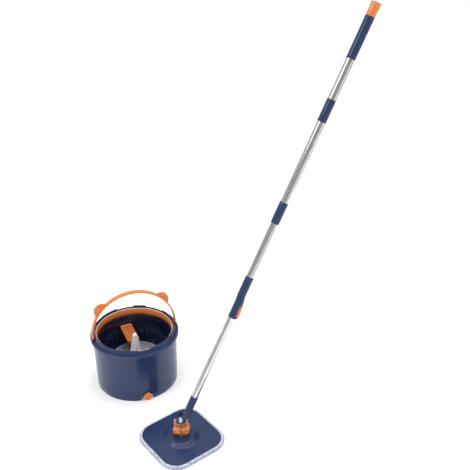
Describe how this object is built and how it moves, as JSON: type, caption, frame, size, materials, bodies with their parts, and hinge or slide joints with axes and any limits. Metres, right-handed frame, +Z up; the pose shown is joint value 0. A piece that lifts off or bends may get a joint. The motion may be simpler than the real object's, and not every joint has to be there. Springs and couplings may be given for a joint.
{
  "type": "spin mop with wash bucket",
  "caption": "Flat spin mop on a telescopic twist-drive pole, standing beside a round wash bucket with bail, lift-out wash unit, spinning cone, scrub bar and drain plug.",
  "frame": {"origin": "centre of the bucket's foot, on the floor", "axes": "+Z up; +X along the bail's hinge axis; -Y towards the drain plug; the mop stands on the same floor at -Y"},
  "size_m": [0.7746, 0.5882, 1.1961],
  "materials": {
    "navy_plastic": "satin moulded polypropylene, navy",
    "dark_navy_plastic": "satin moulded polypropylene, dark navy",
    "orange_plastic": "semi-gloss moulded plastic, orange",
    "white_plastic": "semi-gloss white plastic",
    "grey_plastic": "matt grey acetal",
    "black_rubber": "matt black rubber",
    "steel_tube": "polished stainless tube",
    "perforated_steel": "fine perforated stainless sheet",
    "bright_steel": "bright steel",
    "zinc_screw": "zinc-plated steel",
    "hook_tape": "white hook tape",
    "microfibre": "white microfibre pile"
  },
  "bodies": {
    "bucket": {"tub": "navy_plastic"},
    "bail": {"bail": "orange_plastic"},
    "drain_plug": {"drain_plug": "orange_plastic", "drain_seal": "black_rubber"},
    "wash_unit": {"wash_bowl": "dark_navy_plastic", "splash_ring": "orange_plastic", "slotted_band": "dark_navy_plastic", "strainer_disc": "perforated_steel", "scrub_bar": "orange_plastic", "spray_nozzle": "dark_navy_plastic", "feed_pipe": "white_plastic", "pump_column": "grey_plastic", "bearing_cap": "grey_plastic", "upper_bush": "white_plastic", "lower_bush": "white_plastic", "shaft_seal": "black_rubber", "suction_strainer": "grey_plastic", "column_screws": "zinc_screw", "bar_screws": "zinc_screw"},
    "spindle": {"spindle_cone": "white_plastic", "spindle_shaft": "bright_steel", "impeller": "white_plastic", "shaft_clip": "bright_steel"},
    "mop_head": {"head_plate": "navy_plastic", "yoke_left": "orange_plastic", "yoke_right": "orange_plastic", "spindle_socket": "grey_plastic", "yoke_pin": "bright_steel", "yoke_screws": "zinc_screw", "hook_strips": "hook_tape", "pad_backing": "microfibre", "mop_pad": "microfibre"},
    "cross": {"cross_block": "dark_navy_plastic", "pin_caps": "white_plastic"},
    "lower_pole": {"connector": "navy_plastic", "inner_tube": "steel_tube", "connector_pin": "navy_plastic", "spin_nut": "grey_plastic", "drive_plate": "bright_steel", "nut_cap": "grey_plastic"},
    "guide": {"guide_bush": "white_plastic"},
    "upper_pole": {"lock_sleeve": "navy_plastic", "tube_lower": "steel_tube", "joint_sleeve_lower": "navy_plastic", "tube_middle": "steel_tube", "joint_sleeve_upper": "navy_plastic", "tube_upper": "steel_tube", "coupler_lower": "grey_plastic", "coupler_upper": "grey_plastic", "lock_spring": "bright_steel", "handle_grip": "navy_plastic", "end_cap": "orange_plastic", "twisted_rod": "bright_steel", "rod_anchor": "grey_plastic"},
    "lock_button": {"lock_button": "orange_plastic"}
  },
  "joints": [
    {"name": "bail_hinge", "type": "hinge", "parent": "bucket", "child": "bail", "pos_m": [0, 0, 0.1842], "axis": [1, 0, 0], "range_deg": [-87.5, 92.5]},
    {"name": "wash_unit_lift", "type": "slide", "parent": "bucket", "child": "wash_unit", "axis": [0, 0, 1], "range_m": [0, 0.04]},
    {"name": "spindle_turn", "type": "hinge", "parent": "wash_unit", "child": "spindle", "pos_m": [0, 0, 0.08], "axis": [0, 0, 1], "continuous": true},
    {"name": "drain_pull", "type": "slide", "parent": "bucket", "child": "drain_plug", "axis": [0, -1, 0], "range_m": [0, 0.02]},
    {"name": "mop_glide", "type": "slide", "parent": "bucket", "child": "mop_head", "axis": [0.1438, -0.9896, 0], "range_m": [0, 0.3]},
    {"name": "tilt_fore_aft", "type": "hinge", "parent": "mop_head", "child": "cross", "pos_m": [0.0483, -0.3324, 0.0669], "axis": [0.933, -0.36, 0], "range_deg": [-16.49, 58.51]},
    {"name": "tilt_side", "type": "hinge", "parent": "cross", "child": "lower_pole", "pos_m": [0.04901, -0.33055, 0.07516], "axis": [0.35, 0.9071, -0.2336], "range_deg": [-58.57, 16.43]},
    {"name": "pole_spin", "type": "hinge", "parent": "lower_pole", "child": "guide", "pos_m": [0.05772, -0.33497, 0.07104], "axis": [0.4501, 0.0558, 0.8912], "range_deg": [-900, 0]},
    {"name": "pole_stroke", "type": "slide", "parent": "guide", "child": "upper_pole", "axis": [0.4501, 0.0558, 0.8912], "range_m": [-0.2, 0]},
    {"name": "lock_press", "type": "slide", "parent": "upper_pole", "child": "lock_button", "axis": [-0.6522, 0.7022, 0.2855], "range_m": [0, 0.001], "stiffness_N_per_m": 1500, "deforming": ["lock_spring"]}
  ],
  "couplings": [
    {"joint": "pole_spin", "follows": "pole_stroke", "rad_per_m": 78.54}
  ]
}
